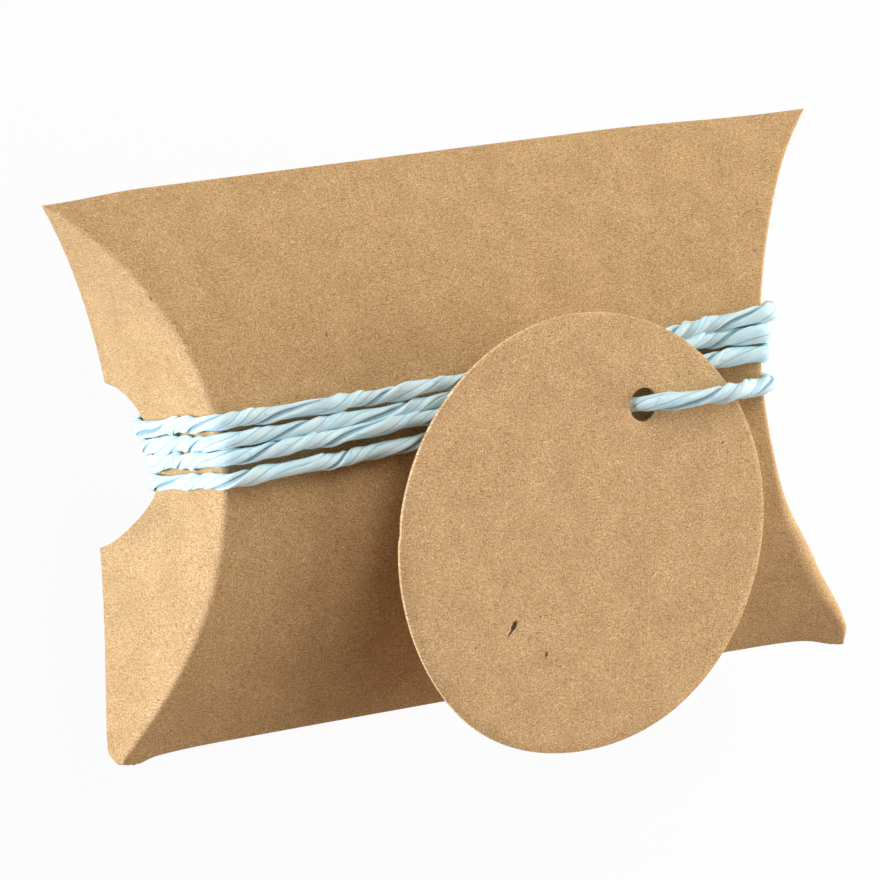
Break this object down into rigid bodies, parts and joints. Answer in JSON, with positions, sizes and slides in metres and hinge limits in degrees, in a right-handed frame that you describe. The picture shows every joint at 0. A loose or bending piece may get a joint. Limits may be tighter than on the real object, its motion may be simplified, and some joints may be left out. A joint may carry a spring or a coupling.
{
  "type": "pillow gift box",
  "caption": "Curved card pillow box with folded end flaps, wound round the middle with paper twine that carries a round hang tag.",
  "frame": {"origin": "the resting level under the middle of the box as it lies on its back, at the lowest strand of twine", "axes": "+X along the box towards its right end, +Y across it towards the upper side crease of the picture, +Z out of the front panel that carries the tag"},
  "size_m": [0.104, 0.0718, 0.033],
  "materials": {
    "kraft_card": "matt uncoated kraft card with fine fibre specks",
    "tag_card": "matt uncoated kraft card, die cut",
    "paper_twine": "matt two-ply twisted paper twine, pale blue"
  },
  "bodies": {
    "box": {"front_panel": "kraft_card", "back_panel": "kraft_card", "glue_tab": "kraft_card"},
    "twine": {"twine": "paper_twine", "twine_knot": "paper_twine"},
    "tag": {"tag": "tag_card"},
    "left_outer_flap": {"left_outer_flap": "kraft_card"},
    "left_inner_flap": {"left_inner_flap": "kraft_card"},
    "right_outer_flap": {"right_outer_flap": "kraft_card"},
    "right_inner_flap": {"right_inner_flap": "kraft_card"}
  },
  "joints": [
    {"name": "twine_slide_off", "type": "slide", "parent": "box", "child": "twine", "axis": [0, 0.9962, 0.0872], "range_m": [0, 0.08], "deforming": ["twine", "twine_knot"]},
    {"name": "tag_swing", "type": "hinge", "parent": "twine", "child": "tag", "pos_m": [0.01772, 0.00041, 0.03049], "axis": [0.0471, -0.1356, 0.9896], "range_deg": [-110, 20]},
    {"name": "left_outer_flap_fold", "type": "hinge", "parent": "box", "child": "left_outer_flap", "pos_m": [-0.03828, 0, 0.02724], "axis": [0, 1, 0], "range_deg": [0, 120]},
    {"name": "left_inner_flap_fold", "type": "hinge", "parent": "box", "child": "left_inner_flap", "pos_m": [-0.03763, 0, 0.00269], "axis": [0, -1, 0], "range_deg": [0, 50]},
    {"name": "right_outer_flap_fold", "type": "hinge", "parent": "box", "child": "right_outer_flap", "pos_m": [0.03828, 0, 0.02724], "axis": [0, -1, 0], "range_deg": [0, 120]},
    {"name": "right_inner_flap_fold", "type": "hinge", "parent": "box", "child": "right_inner_flap", "pos_m": [0.03763, 0, 0.00269], "axis": [0, 1, 0], "range_deg": [0, 50]}
  ],
  "couplings": [
    {"joint": "left_outer_flap_fold", "follows": "twine_slide_off", "rad_per_m": 26.17},
    {"joint": "right_outer_flap_fold", "follows": "twine_slide_off", "rad_per_m": 26.17},
    {"joint": "left_inner_flap_fold", "follows": "twine_slide_off", "rad_per_m": 10.9},
    {"joint": "right_inner_flap_fold", "follows": "twine_slide_off", "rad_per_m": 10.9}
  ]
}
